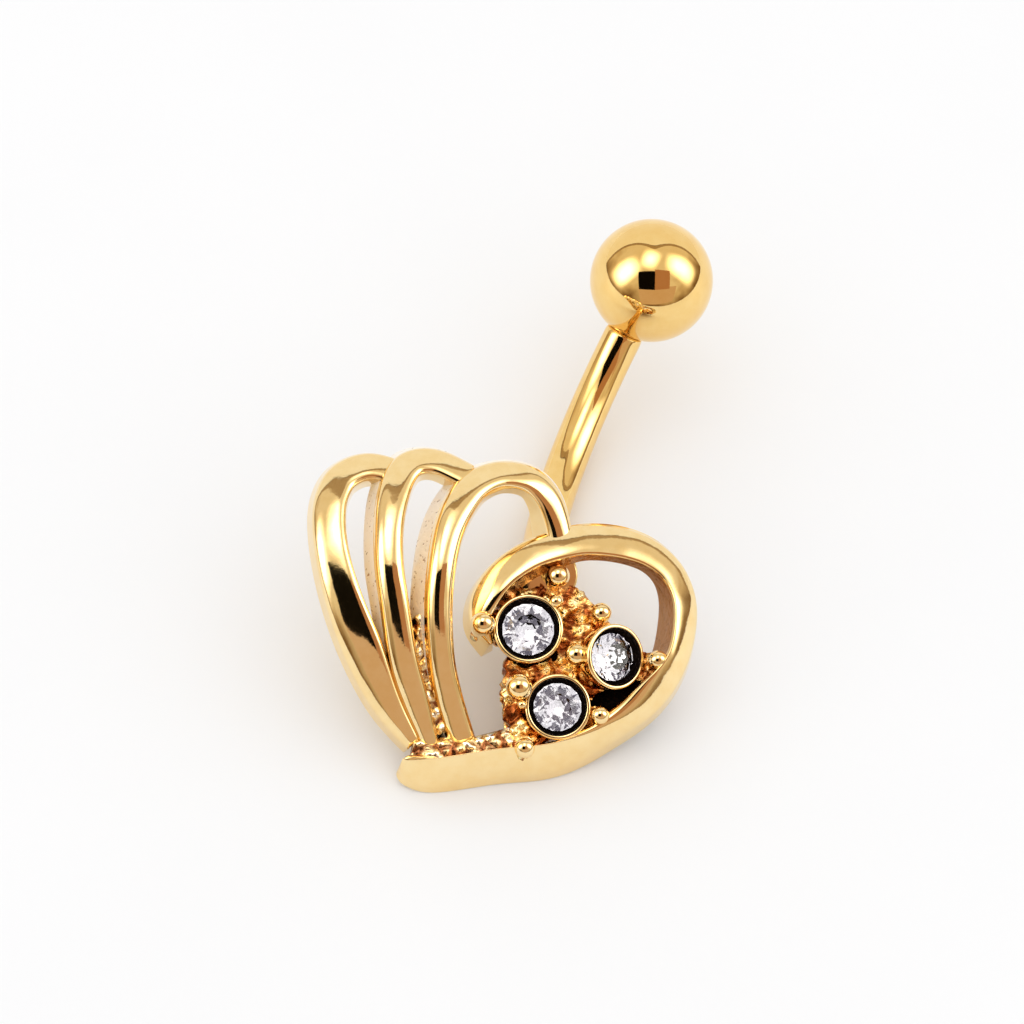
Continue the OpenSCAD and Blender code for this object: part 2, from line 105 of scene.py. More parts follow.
HEART_STRAND = table(
    (-0.036, 0.035, 0.2, 0.34, 0.26, 0, 1, 1.1, 0, 0.4),
    (-0.026, 0.037, 0.56, 0.4, 0.32, 0, 1.2, 1.25, 0, 0.4),
    (-0.001, 0.045, 0.8, 0.44, 0.35, 0, 1.5, 1.3, 0, 0.5),
    (0.048, 0.072, 0.85, 0.48, 0.4, 0, 1.8, 1.3, 0, 0.6),
    (0.153, 0.187, 0.84, 0.54, 0.42, 0, 1.8, 1.3, 0, 0.6),
    (0.2615, 0.3005, 0.86, 0.58, 0.42, 0, 1.6, 1.3, 0, 0.5),
    (0.334, 0.448, 0.82, 0.62, 0.3, 0.35, 1.1, 1.2, 0, 0.3),
    (0.378, 0.59, 0.86, 0.68, 0.12, 0.8, 0.9, 1.1, 0.12, 0.1),
    (0.384, 0.722, 0.7, 0.74, 0.07, 0.95, 0.85, 1, 0.32),
    (0.336, 0.856, 0.78, 0.8, 0.055, 0.8, 0.9, 0.9, 0.25),
    (0.269, 0.922, 0.84, 0.84, 0.05, 0.5, 1, 0.6, 0.08),
    (0.197, 0.935, 0.92, 0.88, 0.045, 0.32, 1, 0.35),
    (0.119, 0.91, 1, 0.92, 0.045, 0.26, 1, 0.29),
    (0.044, 0.857, 0.99, 0.94, 0.045, 0.26, 1, 0.32),
    (-0.003, 0.801, 0.98, 0.94, 0.05, 0.28, 0.95, 0.55),
    (-0.048, 0.731, 0.96, 0.9, 0.06, 0.34, 0.85, 0.8),
    (-0.078, 0.645, 0.94, 0.84, 0.07, 0.42, 0.8),
    (-0.083, 0.563, 0.86, 0.78, 0.09, 0.52, 0.85),
    (-0.062, 0.497, 0.64, 0.7, 0.12, 0.45, 0.9),
    (-0.01, 0.46, 0.24, 0.56, 0.16, 0.2, 1))
LEDGE_STRAND = table(
    (-0.034, 0.092, 0.6, 0.34, 0.08, 0, 1),
    (0.03, 0.125, 0.85, 0.36, 0.08, 0, 1),
    (0.095, 0.18, 0.85, 0.38, 0.08, 0, 1),
    (0.16, 0.27, 0.8, 0.42, 0.08, 0, 1))
CHANNEL_STRAND = table(
    (-0.184, 0.396, 0.42, 0.7, 0.05, 0, 1, 0.6),
    (-0.127, 0.315, 0.55, 0.575, 0.05, 0, 1, 0.7),
    (-0.063, 0.243, 0.6, 0.43, 0.05, 0, 1, 0.8),
    (0.015, 0.182, 0.6, 0.285, 0.05, 0, 1, 0.9))
# How far the fan's walls run aside for each unit of depth, and the mouth of the bar's socket in
# shares of the heart
FAN_LEAN, SOCKET_MOUTH = Vector((-0.1, 0.17, 0)), (-0.0225, 0.8045, -0.19)
# Where the lower band touches the table, in rows of the heart strand, and the steps that the
# solids have between two rows
TOUCH_ROWS, SOURCE_STEPS = (3.33, 4.67), 3
# Points down each wall of a strand's section, and the degrees between those over its top
WALL_POINTS, TOP_TURN = 5, 15
# A wall's lower bend over its foot and the lip at its foot, as shares of its spread and width
WALL_BEND, FOOT_LIP = 0.15, 0.12
# Distance under which vertices are merged, and how far a strand's end caps are inset
MERGE, CAP_INSET = 0.0001 * MM, 0.06 * MM

# A stone's seat: its place, the height of its rim, its lean to the right and down in degrees, and
# whether it holds the large stone
Seat = namedtuple("Seat", "x y rim right down large")
SEATS = (Seat(0.045, 0.547, 0.73, 0, 9, True), Seat(0.258, 0.617, 0.765, 26, -3, False),
         Seat(0.206, 0.402, 0.655, 3, 12, False))
# A claw: its cup, its direction from there in degrees, its distance as a share of its radius, the
# height of its middle as a share of the heart's rise, and its size as a share of the largest bead
CLAWS = ((0, 94, 2.3, 0.75, 0.92), (0, 208, 0.85, 0.72, 0.96), (0, 78, 0.6, 0.76, 0.56),
         (1, 140, 1.4, 0.74, 0.80), (1, 209, 0.55, 0.72, 0.90), (2, 187, 0.75, 0.68, 1.04),
         (1, 31, 0.92, 0.72, 0.76), (2, 23, 1.05, 0.64, 0.72), (2, 264, 1.84, 0.56, 0.80),
         (2, 210, 0.6, 0.64, 0.36))
# The webs between the cups: their top, width and depth as shares of the heart's rise, the strand's
# width and the casting's depth, how narrow they are at their foot, their ends at the three cups
# and the ends of each
WEB_TOP, WEB_WIDE, WEB_DEEP, TAPER = 0.46, 0.9, 0.85, 0.8
LARGE, RIGHT, LOWER = (0.045, 0.547), (0.256, 0.617), (0.206, 0.402)
WEBS = ((LARGE, RIGHT), (LARGE, LOWER), (RIGHT, LOWER), (LARGE, (-0.02, 0.74)),
        ((0.034, 0.729), (0.17, 0.69)), (LOWER, (0.185, 0.3)), ((0.104, 0.385), (0.18, 0.29)),
        (RIGHT, (0.35, 0.68)), (LOWER, (0.301, 0.44)), ((0.104, 0.385), LARGE),
        (LARGE, (-0.045, 0.52)), ((-0.02, 0.74), (-0.05, 0.62)), ((0.12, 0.64), (0.19, 0.64)),
        ((0.15, 0.52), (0.19, 0.52)))
# Painted shade: the block there is near-black, standing in for the dark hollow
# The floor between two cups and the right band, and its top as a share of the heart's rise
POCKET, POCKET_TOP = ((0.295, 0.500), (0.350, 0.620)), 0.25
# The rough skin of the webs: size of the voxels, size of the lumps and their relief
WEB_VOXEL, LUMP_SIZE, LUMP_RELIEF = 0.08 * MM, 0.38 * MM, 0.45 * MM
# Painted shade: the bowl and the bore inside each cup are near-black
# The bowl under a stone: shares of its cup's bore, and depths in mm under the stone's edge
BOWL = ((0.78, 0.14), (0.5, 0.6), (0, 0.9))
# Corners of a round brilliant, ring by ring: how many, their radius and height as shares of the
# stone's radius, and their turn in steps; below the foil line its facets are foiled
BRILLIANT = ((8, 0.56, 0.32, 0.5), (8, 0.80, 0.205, 0), (16, 1, 0, 0), (16, 1, -0.06, 0),
             (8, 0.34, -0.62, 0), (1, 0, -0.84, 0))
FOIL_LINE = -0.07
# The stud's thread: its depth, its pitch, the bare length before it and its steps in a turn
THREAD_DEPTH, THREAD_PITCH, THREAD_START, THREAD_STEPS = 0.09 * MM, 0.3 * MM, 0.15 * MM, 24

# Cards round the camera, which the gold or the stones reflect: their edges in mm to the right of
# and above the camera, and how far behind it they stand
Card = namedtuple("Card", "name x0 x1 y0 y1 back tone strength for_stones")
CARDS = (Card("dark_flag", -76, 20, -52, 50, 4, (0.02, 0.015, 0.01), 0.15, False),
         Card("brown_card", 20, 115, -52, 60, 2, (0.50, 0.25, 0.14), 0.9, False),
         Card("tan_card", -83, 182, -182, -38, 0, (0.62, 0.44, 0.32), 1.0, False),
         Card("grey_card", -42, 30, -42, 38, 6, (0.17, 0.16, 0.19), 1.0, True))
# Softboxes: the direction they stand in, their distance, width and height in metres, colour and
# brightness as a share of the side ones', and how much of each sheet fades out
Softbox = namedtuple("Softbox", "name way far width height tone share")
SOFTBOXES = (
    Softbox("left_softbox", (-0.679, -0.471, 0.564), 0.4, 0.3562, 0.5396, (1, 0.97, 0.9), 1),
    Softbox("right_softbox", (0.719, 0.276, 0.637), 0.4, 0.3562, 0.5396, (1, 0.97, 0.9), 1),
    Softbox("top_softbox", (-0.105, -0.038, 0.994), 0.42, 0.3, 0.36, (1, 0.96, 0.88), 0.8))
SOFT_EDGE = 0.95
# The white sweep behind the table in degrees, its distance, and the bands over it: a band's foot
# and head over the sweep's upper edge (None for the table) and its colour
SWEEP_START, SWEEP_END, SWEEP_PEAK, SWEEP_FOOT, SWEEP_FAR = 47.0, 178.0, 62.0, -2.0, 0.7
SWEEP_BANDS = (("back_sweep", None, 0.0, (0.95, 0.92, 0.87)),
               ("sweep_edge", 0.0, 1.0, (0.12, 0.07, 0.03)),
               ("sweep_shade", 1.0, 8.0, (0.40, 0.29, 0.18)))
# The room's dome: its radius, its lower edge and its colours from low to high
ROOM_RADIUS, ROOM_EDGE = 0.9, -0.1
ROOM_TONES = ((0.42, (0.20, 0.12, 0.055)), (0.75, (0.58, 0.46, 0.32)), (1.0, (0.80, 0.70, 0.55)))
TABLE_HALF, WORLD_STRENGTH = 1.2, 1.03


def length(name, description, default, low=0):
    return FloatProperty(name=name, description=description, default=default * MM, min=low,
                         precision=5, unit="LENGTH", subtype="DISTANCE")


def angle(name, description, default):
    return FloatProperty(name=name, description=description, default=math.radians(default),
                         unit="ROTATION", subtype="ANGLE")


def colour(name, description, default):
    return FloatVectorProperty(name=name, description=description, default=default, size=3,
                               min=0, max=1, subtype="COLOR")


def factor(name, description, default):
    return FloatProperty(name=name, description=description, default=default, min=0, max=1,
                         subtype="FACTOR")


class RingSizes(bpy.types.PropertyGroup):
    """Sizes of the casting, the stones, the bar and the ball"""
    heart_w: length("Heart width", "Width of the heart across its two halves", 16)
    heart_h: length("Heart height", "Height of the heart from its tip to its lobes", 13.2)
    heart_t: length("Heart rise", "Height that the right half and the cups count from", 3.2)
    fan_t: length("Fan rise", "Height of the fan's highest ridge above the flat of the back", 4.2)
    strand_w: length("Strand width", "Width of a strand where it is full", 1.3)
    cast_depth: length("Casting depth", "Depth of the casting under its ridges", 1.5)
    draft: length("Draft", "Spread of a strand's walls toward the back", 0.12)
    large_stone_d: length("Large stone", "Diameter of the large stone", 2)
    small_stone_d: length("Small stones", "Diameter of the two smaller stones", 1.85)
    seat_gap: length("Seat gap", "Space round a stone in its cup", 0.15)
    cup_wall: length("Cup wall", "Wall of a stone's cup", 0.2)
    cup_h: length("Cup height", "Height of a stone's cup", 1.5)
    seat_drop: length("Seat drop", "Drop from a cup's rim to the girdle of its stone", 0.28)
    bead_d: length("Bead", "Diameter of the largest bead claw", 1)
    bar_d: length("Bar", "Thickness of the curved bar", 1.6)
    bar_radius: length("Bar curve", "Radius of the bar's curve, to its middle", 8.55)
    bar_sweep: angle("Bar sweep", "Angle that the bar's curve turns through", 87.4)
    bar_dip: angle("Bar dip", "Angle between the bar and the back at the socket", 57)
    bar_yaw: angle("Bar turn", "Turn of the bar to the left of the heart's upright", 10.8)
    bar_roll: angle("Bar roll", "Lean of the bar's curve to the right", 8.5)
    socket_depth: length("Socket depth", "Length of the bar's end inside the socket", 1.4)
    socket_wall: length("Socket wall", "Wall of the socket round the bar", 0.35)
    socket_gap: length("Socket gap", "Space between the bar and its socket", 0.05)
    ball_d: length("Ball", "Diameter of the ball", 5)
    stud_d: length("Stud", "Diameter of the stud that the ball screws on", 1.1)
    stud_l: length("Stud length", "Length of the stud", 2.4)
    stud_gap: length("Stud gap", "Running space between the stud and the ball's bore", 0.06)
    detail: IntProperty(name="Detail", description="Levels of subdivision on the cast pieces",
                        default=2, min=0, max=3)


class RingFinish(bpy.types.PropertyGroup):
    """Colours and finishes"""
    pale_gold: colour("Pale gold", "Polished gold of the casting", (0.98, 0.76, 0.40))
    deep_gold: colour("Deep gold", "Polished gold of the bar and the ball", (0.95, 0.67, 0.27))
    raw_gold: colour("Raw gold", "Unpolished gold between the cups", (0.93, 0.52, 0.18))
    # Painted reflection: a whitened gold for the fan's slot walls, on a real satin finish
    slot_wall_reflection: colour("Slot wall", "Satin walls of the fan's slots", (1.0, 0.93, 0.82))
    # Painted reflection: a dark copper tone on the right half's inner wall, for the cluster it
    # mirrors
    inner_wall_reflection: colour("Inner wall", "Wall inside the right half", (0.50, 0.255, 0.11))
    polish: factor("Roughness", "Roughness of the polished gold", 0.07)
    raw: factor("Raw roughness", "Roughness of the unpolished gold", 0.2)
    # Painted shade: near-black for the bowls round the stones and for the pocket
    seat: colour("Seat", "Dark setting round the stones", (0.004, 0.003, 0.003))
    foil: colour("Foil", "Mirror foil behind the stones", (0.97, 0.95, 0.97))


class RingStudio(bpy.types.PropertyGroup):
    """Camera, table and light"""
    azimuth: angle("Azimuth", "Direction of the camera round the ring", 18.69)
    elevation: angle("Elevation", "Height of the camera over the table", 51.6)
    roll: angle("Roll", "Turn of the camera about its own axis", 6.125)
    distance: length("Distance", "Distance from the camera to its aim", 169.9)
    aim_x: length("Aim X", "Where the camera aims on the table", -2.002, -1)
    aim_y: length("Aim Y", "Where the camera aims on the table", 1.094, -1)
    lens: FloatProperty(name="Lens", description="Focal length in millimetres", default=148.33,
                        subtype="DISTANCE_CAMERA")
    table: colour("Table", "Colour of the white table", (0.955, 0.955, 0.96))
    softbox: FloatProperty(name="Softboxes", description="Brightness of the side softboxes",
                           default=5, min=0)


# The heart's own plane
def spline(a, b, c, d, t):
    return Row(*(0.5 * (2 * q + (r - p) * t + (2 * p - 5 * q + 4 * r - s) * t * t
                        + (3 * q - p - 3 * r + s) * t ** 3) for p, q, r, s in zip(a, b, c, d)))


def smooth(rows, steps):
    """A curve through the rows, with the same number of steps between each pair"""
    first = Row(*(2 * p - q for p, q in zip(rows[0], rows[1])))
    last = Row(*(2 * p - q for p, q in zip(rows[-1], rows[-2])))
    p = [first, *rows, last]
    return [spline(*p[i:i + 4], k / steps) for i in range(len(rows) - 1) for k in range(steps)] \
        + [rows[-1]]


def at(s, x, y, z=0.0):
    return Vector((x * s.heart_w, y * s.heart_h, z * s.heart_t))


def heading(s, rows, i):
    a, b = rows[max(i - 1, 0)], rows[min(i + 1, len(rows) - 1)]
    return (at(s, b.x, b.y) - at(s, a.x, a.y)).normalized()


def walls(s, row, tall):
    """Half the width, the foot's height, and how far each wall runs out at its foot"""
    half, foot = row.width * s.strand_w / 2, max(0, row.top * tall - row.deep * s.cast_depth)
    left = half + s.draft + max(0, row.spread) * s.strand_w
    right = half + s.draft - min(0, row.spread) * s.strand_w
    return half, foot, left, right


def section(s, row, tall):
    """The strand's outline across its way, as (across, height, depth of the wall below)"""
    half, foot, left, right = walls(s, row, tall)
    low, slope = foot + s.draft, row.tilt * half
    dome = min(row.dome * tall, row.top * tall - low)
    base = row.top * tall - dome
    high_left, high_right = max(low, base + slope), max(low, base - slope)
    span = (left + right) * FOOT_LIP

    def wall(inner, outer, high, side):
        deep = high - foot
        return [(side * inner, high, 0), (side * (outer + inner) / 2, foot + deep / 2, deep / 2),
                (side * (outer - (outer - inner) * WALL_BEND), foot + deep * WALL_BEND,
                 deep * (1 - WALL_BEND)),
                (side * outer, foot, deep), (side * (outer - span), foot, deep)]

    points = wall(half, right, high_right, -1)[::-1]
    for a in range(180 - TOP_TURN, 0, -TOP_TURN):
        c, r = math.cos(math.radians(a)), math.sin(math.radians(a))
        c, r = math.copysign(abs(c) ** row.round, c), r ** row.round
        points.append((half * (c + row.lean * r), max(low, base + slope * c) + dome * r, 0))
    return points + wall(half, left, high_left, 1)


def place_section(s, rows, i, points, lean=Vector()):
    go = heading(s, rows, i)
    across = Vector((-go.y, go.x, 0))
    return [at(s, rows[i].x, rows[i].y) + across * p[0] + Vector((0, 0, p[1])) + lean * p[2]
            for p in points]


# How it lies on the table
class Layout:
    """The bar's plane and the turn from the heart's plane to the table, as in the solids"""

    def __init__(self, s):
        yaw, roll, dip = s.bar_yaw, s.bar_roll, s.bar_dip
        along = Vector((-math.sin(yaw), math.cos(yaw), 0))
        rise = Vector((math.sin(roll) * math.cos(yaw), math.sin(roll) * math.sin(yaw),
                       math.cos(roll)))
        side = along.cross(rise)
        self.mouth = at(s, *SOCKET_MOUTH)
        self.bar_plane = Matrix((along, rise, side)).transposed().to_4x4()
        self.bar_plane.translation = self.mouth
        self.curve = s.bar_radius * Vector((math.sin(dip), math.cos(dip), 0))
        tip = self.tip_angle = s.bar_sweep - dip
        self.tip = self.curve + s.bar_radius * Vector((math.sin(tip), -math.cos(tip), 0))
        self.ball = self.tip + math.sqrt((s.ball_d / 2) ** 2 - (s.bar_d / 2) ** 2) \
            * Vector((math.cos(tip), math.sin(tip), 0))
        rows = smooth(HEART_STRAND, SOURCE_STEPS)
        a, b = (place_section(s, rows, k, [(-right, foot, 0)])[0]
                for k in (round(row * SOURCE_STEPS) for row in TOUCH_ROWS)
                for _, foot, _, right in [walls(s, rows[k], s.heart_t)])
        middle = self.bar_plane @ self.curve
        up = Vector((0, 0, 1))
        for _ in range(9):
            belly = middle - s.bar_radius * (up - up.dot(side) * side).normalized() \
                - s.bar_d / 2 * up
            up = (b - a).cross(belly - a).normalized()
        ball = self.bar_plane @ self.ball
        ahead = (ball - ball.dot(up) * up).normalized()
        turn = Matrix((ahead.cross(up), ahead, up))
        low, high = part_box("top_ball")
        self.to_row = Matrix.Translation((low + high) / 2 - turn @ ball) @ turn.to_4x4()
        ground = (self.to_row @ a).z
        if abs(ground) > 0.05 * MM:
            raise RuntimeError(f"the heart's edge is {ground / MM:.2f} mm off the table")


def along_bar(centre, turn):
    """A frame at a point of the bar's plane, with its Z along the bar at that angle"""
    return Matrix.Translation(centre) @ Matrix.Rotation(turn, 4, "Z") \
        @ Matrix.Rotation(math.pi / 2, 4, "Y")


def arc(radius, degrees, centre=(0, 0)):
    """An arc of a profile, as (radius, height)"""
    return [(centre[0] + radius * math.cos(a), centre[1] + radius * math.sin(a))
            for a in map(math.radians, degrees)]


# Meshes
def new_object(name, bm, materials):
    mesh = bpy.data.meshes.new(name)
    bm.to_mesh(mesh)
    bm.free()
    for material in materials:
        mesh.materials.append(material)
    made = bpy.data.objects.new(name, mesh)
    bpy.context.scene.collection.objects.link(made)
    return made


def finish_piece(name, bm, body, node, materials, levels=0, smooth_faces=True, place=None):
    """Makes the piece's object, with its place in its mesh, and puts it on its body"""
    if place:
        bmesh.ops.transform(bm, matrix=place, verts=bm.verts[:])
    bmesh.ops.remove_doubles(bm, verts=bm.verts[:], dist=MERGE)
    bmesh.ops.recalc_face_normals(bm, faces=bm.faces[:])
    for face in bm.faces:
        face.smooth = smooth_faces
    piece = new_object(name, bm, materials)
    if levels:
        modifier = piece.modifiers.new("Smooth", "SUBSURF")
        modifier.levels = modifier.render_levels = levels
    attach(piece, body)
    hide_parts(node)
    return piece


def finish_casting(name, bm, place, materials, levels=0):
    """A piece of the casting, modelled on the heart's plane"""
    return finish_piece(name, bm, "charm", "heart_frame", materials, levels,
                        place=place)


def edges_of(geom):
    return [g for g in geom if isinstance(g, bmesh.types.BMEdge)]


def verts_of(geom):
    return [g for g in geom if isinstance(g, bmesh.types.BMVert)]


def rim_of(verts):
    return list({e for v in verts for e in v.link_edges})


def hull(bm, verts):
    """The convex hull of the vertices, without those that end up inside it"""
    made = bmesh.ops.convex_hull(bm, input=verts)
    bmesh.ops.delete(bm, geom=verts_of(made["geom_interior"] + made["geom_unused"]),
                     context="VERTS")


def next_loop(verts, made):
    """The new vertices of an extruded loop, in the order of the old ones"""
    new = set(verts_of(made))
    return [next(e.other_vert(v) for e in v.link_edges if e.other_vert(v) in new) for v in verts]


def loop_edges(bm, verts):
    return [bm.edges.get((v, verts[(k + 1) % len(verts)])) for k, v in enumerate(verts)]


def sweep(bm, loops, ridge, creases, walls_from=None):
    """Extrudes the first loop through the others and closes both ends.
    creases holds the crease of the edge from the vertex numbered ridge of each loop.
    Faces between the vertices from walls_from on get the second material."""
    crease = bm.edges.layers.float.get("crease_edge") or bm.edges.layers.float.new("crease_edge")
    verts = [bm.verts.new(p) for p in loops[0]]
    for k, v in enumerate(verts):
        bm.edges.new((v, verts[(k + 1) % len(verts)]))
    caps = [loop_edges(bm, verts)]
    for n, loop in enumerate(loops[1:]):
        made = bmesh.ops.extrude_edge_only(bm, edges=loop_edges(bm, verts))["geom"]
        new = next_loop(verts, made)
        for v, p in zip(new, loop):
            v.co = p
        bm.edges.get((verts[ridge], new[ridge]))[crease] = creases[n]
        if walls_from:
            for k in range(walls_from, len(verts) - 1):
                for face in bm.edges.get((new[k], new[k + 1])).link_faces:
                    face.material_index = 1
        verts = new
    caps.append(loop_edges(bm, verts))
    for edges in caps:
        face = bmesh.ops.edgeloop_fill(bm, edges=edges)["faces"]
        bmesh.ops.inset_region(bm, faces=face, thickness=CAP_INSET, use_even_offset=True)


def sweep_strand(bm, s, rows, tall, steps=4, lean=Vector(), inner_walls=True):
    """Sweeps a strand's outline along its rows, with the second material, a painted reflection, on
    the left walls
    """
    rows = smooth(rows, steps)
    outlines = [section(s, row, tall) for row in rows]
    count = len(outlines[0])
    loops = [place_section(s, rows, i, outlines[i], lean) for i in range(len(rows))]
    sweep(bm, loops, count // 2, [min(1.0, max(0.0, row.round - 1)) for row in rows],
          count - WALL_POINTS if inner_walls else None)


def spin_profile(bm, profile, place, steps=48, colours=None):
    """Spins a (radius, height) profile round +Z into a closed shape and moves it to its place"""
    verts = [bm.verts.new((r, 0, z)) for r, z in profile]
    edges = [bm.edges.new(pair) for pair in zip(verts, verts[1:])]
    before = set(bm.faces)
    bmesh.ops.spin(bm, geom=verts + edges, axis=(0, 0, 1), angle=math.tau, steps=steps,
                   use_merge=True)
    faces = [f for f in bm.faces if f not in before]
    if colours:
        for face in faces:
            face.material_index = colours(face.calc_center_median())
    bmesh.ops.remove_doubles(bm, verts=list({v for f in faces for v in f.verts}), dist=MERGE)
    made = list({v for f in bm.faces if f not in before for v in f.verts})
    bmesh.ops.transform(bm, matrix=place, verts=made)


def seat_place(s, seat):
    """From a seat's own frame, with its rim at the origin, to the heart's"""
    return Matrix.Translation(at(s, seat.x, seat.y, seat.rim)) \
        @ Matrix.Rotation(math.radians(seat.right), 4, "Y") \
        @ Matrix.Rotation(math.radians(seat.down), 4, "X")


def stone_d(s, seat):
    return s.large_stone_d if seat.large else s.small_stone_d


def cup_d(s, seat):
    return stone_d(s, seat) + 2 * (s.seat_gap + s.cup_wall)


def claw_places(s):
    """Each claw's place on the heart's plane, the height of its middle and its size"""
    for cup, toward, away, middle, size in CLAWS:
        seat, d = SEATS[cup], size * s.bead_d
        reach = cup_d(s, seat) / 2 + away * d / 2
        way = Vector((math.cos(math.radians(toward)), math.sin(math.radians(toward)), 0))
        yield at(s, seat.x, seat.y) + reach * way, middle * s.heart_t, d, seat


# Finishes
class Nodes:
    """Adds nodes to a material's or world's tree in short lines"""

    def __init__(self, owner):
        owner.use_nodes = True
        self.owner, self.tree = owner, owner.node_tree
        self.tree.nodes.clear()

    def add(self, kind, inputs=None, **settings):
        made = self.tree.nodes.new(kind)
        for name, value in settings.items():
            setattr(made, name, value)
        for name, value in (inputs or {}).items():
            if isinstance(value, bpy.types.NodeSocket):
                self.tree.links.new(value, made.inputs[name])
            else:
                made.inputs[name].default_value = value
        return made

    def math(self, operation, *values):
        return self.add("ShaderNodeMath", dict(enumerate(values)), operation=operation).outputs[0]

    def noise(self, where, scale, detail=3.0, roughness=0.55):
        return self.add("ShaderNodeTexNoise", {"Vector": where, "Scale": scale, "Detail": detail,
                                               "Roughness": roughness}).outputs["Fac"]

    def ramp(self, value, stops):
        made = self.add("ShaderNodeValToRGB", {"Fac": value})
        while len(made.color_ramp.elements) < len(stops):
            made.color_ramp.elements.new(0.5)
        for element, (place, shade) in zip(made.color_ramp.elements, stops):
            element.position, element.color = place, (*shade, 1)
        return made.outputs["Color"]

    def spread(self, value, low, high):
        return self.add("ShaderNodeMapRange", {"Value": value, "To Min": low, "To Max": high}
                        ).outputs["Result"]

    def bump(self, height, distance, under=None):
        inputs = {"Height": height, "Distance": distance, "Strength": 1.0}
        if under:
            inputs["Normal"] = under
        return self.add("ShaderNodeBump", inputs).outputs["Normal"]

    def millimetres(self):
        place = self.add("ShaderNodeTexCoord").outputs["Object"]
        return self.add("ShaderNodeMapping", {"Vector": place, "Scale": (1000, 1000, 1000)}
                        ).outputs["Vector"]

    def surface(self, shader, kind="ShaderNodeOutputMaterial"):
        self.add(kind, {"Surface": shader})
        return self.owner

    def principled(self, inputs):
        return self.surface(self.add("ShaderNodeBsdfPrincipled", inputs).outputs[0])


def fresh(name):
    """The emptied tree of the material of that name, which is made if it is missing"""
    return Nodes(bpy.data.materials.get(name) or bpy.data.materials.new(name))


def tinted(tone, *factors):
    return tuple(min(1.0, c * f) for c, f in zip(tone, factors))


def polished_gold(name, tone, roughness, wave=0.02, grain=0.001):
    """Cast gold, tumbled and plated: slow waves left from the casting and a fine grain, in mm"""
    n = fresh(name)
    where = n.millimetres()
    slow, fine = n.noise(where, 0.9, 1.0), n.noise(where, 9.0, 2.0)
    shade = n.ramp(n.noise(where, 1.6, 3.0),
                   ((0.35, tinted(tone, 0.97, 0.93, 0.85)), (0.65, tone)))
    return n.principled({"Base Color": shade, "Metallic": 1.0,
                         "Normal": n.bump(fine, grain * MM, n.bump(slow, wave * MM)),
                         "Roughness": n.spread(fine, roughness * 0.6, roughness * 1.4)})


def satin_gold(name, tone, metal, roughness):
    """A cast wall with fine pits darkened as painted shade, part metal and part matt skin"""
    n = fresh(name)
    where = n.millimetres()
    pits, slow = n.noise(where, 5.0, 4.0, 0.65), n.noise(where, 1.2, 2.0)
    # Painted shade: the colour darkens where the pits dip the bump
    shade = n.ramp(pits, ((0.30, tinted(tone, 0.35, 0.2, 0.1)), (0.40, tone)))
    return n.principled({"Base Color": shade, "Metallic": metal,
                         "Normal": n.bump(pits, 0.02 * MM, n.bump(slow, 0.05 * MM)),
                         "Roughness": n.spread(pits, roughness * 0.7, roughness * 1.3)})


def raw_gold(name, tone, roughness, nugget=2.6):
    """Gold as it came from the mould: small lumps with tops lightened as painted highlights and
    gaps darkened red as painted shade
    """
    n = fresh(name)
    where = n.millimetres()
    bend = n.add("ShaderNodeTexNoise", {"Vector": where, "Scale": 1.5, "Detail": 2.0})
    where = n.add("ShaderNodeMix", {0: 0.25, 4: where, 5: bend.outputs["Color"]},
                  data_type="VECTOR").outputs[1]
    lumps = n.add("ShaderNodeTexVoronoi", {"Vector": where, "Scale": nugget, "Smoothness": 0.5},
                  feature="SMOOTH_F1").outputs["Distance"]
    pits = n.noise(where, 9.0, 4.0, 0.6)
    # Painted light: near-white tops on the lumps, dark red shade in the gaps between them
    shade = n.ramp(lumps, ((0.22, tinted(tone, 1.15, 1.75, 2.9)), (0.42, tone),
                           (0.62, tinted(tone, 0.30, 0.14, 0.10))))
    height = n.math("SUBTRACT", 1.0, lumps)
    return n.principled({"Base Color": shade, "Metallic": 1.0,
                         "Normal": n.bump(pits, 0.02 * MM, n.bump(height, 0.26 * MM)),
                         "Roughness": n.spread(pits, roughness * 0.6, roughness * 1.4)})


# Near-black painted shade, mottled at random, for the stones' bowls and the pocket
def painted_shade(f):
    n = fresh("painted shade")
    where = n.millimetres()
    shade = n.ramp(n.noise(where, 12.0), ((0.4, f.seat), (0.8, (0.02, 0.01, 0.006))))
    return n.principled({"Base Color": shade, "Roughness": 0.4, "Specular IOR Level": 0.02,
                         "Normal": n.bump(n.noise(where, 20.0), 0.01 * MM)})


def clear_glass():
    n = fresh("clear glass")
    haze = n.noise(n.millimetres(), 6.0)
    return n.principled({"Base Color": (1, 1, 1, 1), "Transmission Weight": 1.0, "IOR": 1.56,
                         "Roughness": n.spread(haze, 0.0, 0.012)})


def mirror_foil(f):
    n = fresh("mirror foil")
    where = n.millimetres()
    shade = n.ramp(n.noise(where, 4.0, 1.0),
                   ((0.40, tinted(f.foil, 0.85, 0.85, 0.85)), (0.52, f.foil)))
    return n.principled({"Base Color": shade, "Metallic": 1.0,
                         "Roughness": n.spread(n.noise(where, 9.0), 0.01, 0.04)})


def heart_gold(f):
    return polished_gold("pale polished gold", f.pale_gold, f.polish)


# One operator for each piece or group
class RING_OT_fan_strands(bpy.types.Operator):
    """Three strands that fan out from the heart's tip and arch over on the left"""
    bl_idname = "ring.fan_strands"
    bl_label = "Fan Strands"

    def execute(self, context):
        s, f = context.scene.ring_sizes, context.scene.ring_finish
        bm = bmesh.new()
        for rows in (OUTER_STRAND, MIDDLE_STRAND, INNER_STRAND):
            sweep_strand(bm, s, rows, s.fan_t, lean=FAN_LEAN, inner_walls=rows is not OUTER_STRAND)
        # The slot walls' near-white is a painted reflection of the bright floor
        finish_casting("fan_strands", bm, Layout(s).to_row,
                       [heart_gold(f), satin_gold("satin slot wall reflection", f.slot_wall_reflection, 0.3, 0.3)],
                       s.detail)
        return {"FINISHED"}


